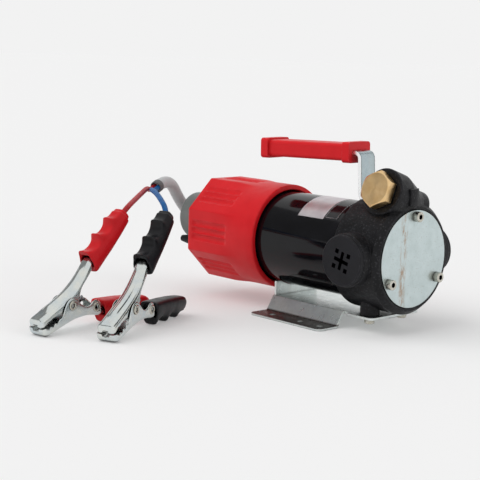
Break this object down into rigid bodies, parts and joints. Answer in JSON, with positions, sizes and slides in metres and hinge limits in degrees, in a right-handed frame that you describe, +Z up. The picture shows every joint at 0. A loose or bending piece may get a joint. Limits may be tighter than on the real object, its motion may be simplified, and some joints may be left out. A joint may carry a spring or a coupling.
{
  "type": "portable fuel transfer pump",
  "caption": "Portable DC fuel transfer pump: vane pump head, motor with red rear cap, carry handle, foot bracket and a battery lead with spring clamps.",
  "frame": {"origin": "on the floor under the middle of the pump without its battery lead", "axes": "+X along the motor shaft towards the pump's front plate, +Z up, near port towards -Y"},
  "size_m": [0.2882, 0.3109, 0.153],
  "materials": {
    "cast_black": "satin",
    "zinc_plate": "bright zinc",
    "screw_steel": "zinc",
    "brass": "machined",
    "seal_rubber": "matt",
    "port_plastic": "satin",
    "steel": "ground",
    "spring_steel": "drawn",
    "rotor_iron": "machined",
    "carbon": "matt",
    "bell_metal": "cast",
    "tube_black": "gloss",
    "magnet": "matt",
    "winding_wire": "enamelled",
    "holder_plastic": "matt",
    "red_plastic": "satin",
    "grey_plastic": "matt",
    "black_plastic": "matt",
    "jaw_zinc": "bright zinc",
    "black_sleeve": "soft gloss",
    "red_sleeve": "soft gloss",
    "grey_sheath": "satin",
    "red_insulation": "satin",
    "blue_insulation": "satin"
  },
  "bodies": {
    "pump": {"pump_housing": "cast_black", "front_plate": "zinc_plate", "plate_gasket": "seal_rubber", "plate_screws": "screw_steel", "near_port_plug": "port_plastic", "far_port_plug": "port_plastic", "bypass_plug": "brass", "bypass_seal": "seal_rubber", "bypass_spring": "spring_steel", "shaft_seal": "seal_rubber", "front_bell": "bell_metal", "front_bearing": "steel", "motor_tube": "tube_black", "magnets": "magnet", "brush_holder": "holder_plastic", "brushes": "carbon", "brush_springs": "spring_steel", "rear_bell": "bell_metal", "rear_bearing": "steel", "tie_bolts": "screw_steel", "rear_cap": "red_plastic", "terminal_cover": "grey_plastic", "cable_gland": "grey_plastic", "switch_body": "black_plastic", "switch_bezel": "black_plastic", "cap_screws": "screw_steel", "handle_strap": "zinc_plate", "strap_screw": "screw_steel", "handle_grip": "red_plastic", "bracket": "zinc_plate", "deck_bolts": "zinc_plate", "black_upper_jaw": "jaw_zinc", "black_upper_grip": "black_sleeve", "black_rivet": "jaw_zinc", "black_spring": "spring_steel", "red_upper_jaw": "jaw_zinc", "red_upper_grip": "red_sleeve", "red_rivet": "jaw_zinc", "red_spring": "spring_steel", "cable_sheath": "grey_sheath", "red_wire": "red_insulation", "blue_wire": "blue_insulation"},
    "rotating_group": {"rotor": "rotor_iron", "vane_1": "carbon", "vane_2": "carbon", "vane_3": "carbon", "vane_4": "carbon", "vane_5": "carbon", "motor_shaft": "steel", "drive_key": "steel", "armature_core": "rotor_iron", "windings": "winding_wire", "commutator": "brass"},
    "bypass_valve": {"bypass_poppet": "steel"},
    "switch": {"switch_lever": "black_plastic"},
    "black_clamp_jaw": {"black_lower_jaw": "jaw_zinc", "black_lower_grip": "black_sleeve"},
    "red_clamp_jaw": {"red_lower_jaw": "jaw_zinc", "red_lower_grip": "red_sleeve"}
  },
  "joints": [
    {"name": "shaft_spin", "type": "hinge", "parent": "pump", "child": "rotating_group", "pos_m": [0, 0, 0.0622], "axis": [1, 0, 0], "continuous": true},
    {"name": "bypass_lift", "type": "slide", "parent": "pump", "child": "bypass_valve", "axis": [0, -0.9511, 0.309], "range_m": [0, 0.004], "stiffness_N_per_m": 3000, "springref_m": -0.008, "deforming": ["bypass_spring"]},
    {"name": "switch_tilt", "type": "hinge", "parent": "pump", "child": "switch", "pos_m": [-0.1055, -0.0346, 0.05], "axis": [0, 1, 0], "range_deg": [-8, 8]},
    {"name": "black_clamp_open", "type": "hinge", "parent": "pump", "child": "black_clamp_jaw", "pos_m": [-0.0096, -0.1906, 0.02165], "axis": [0.9272, 0.3746, 0], "range_deg": [0, 24], "stiffness_Nm_per_rad": 1.2, "springref_deg": -57.3, "deforming": ["black_spring"]},
    {"name": "red_clamp_open", "type": "hinge", "parent": "pump", "child": "red_clamp_jaw", "pos_m": [-0.0505, -0.2201, 0.02165], "axis": [0.9893, 0.1461, 0], "range_deg": [0, 24], "stiffness_Nm_per_rad": 1.2, "springref_deg": -57.3, "deforming": ["red_spring"]}
  ]
}
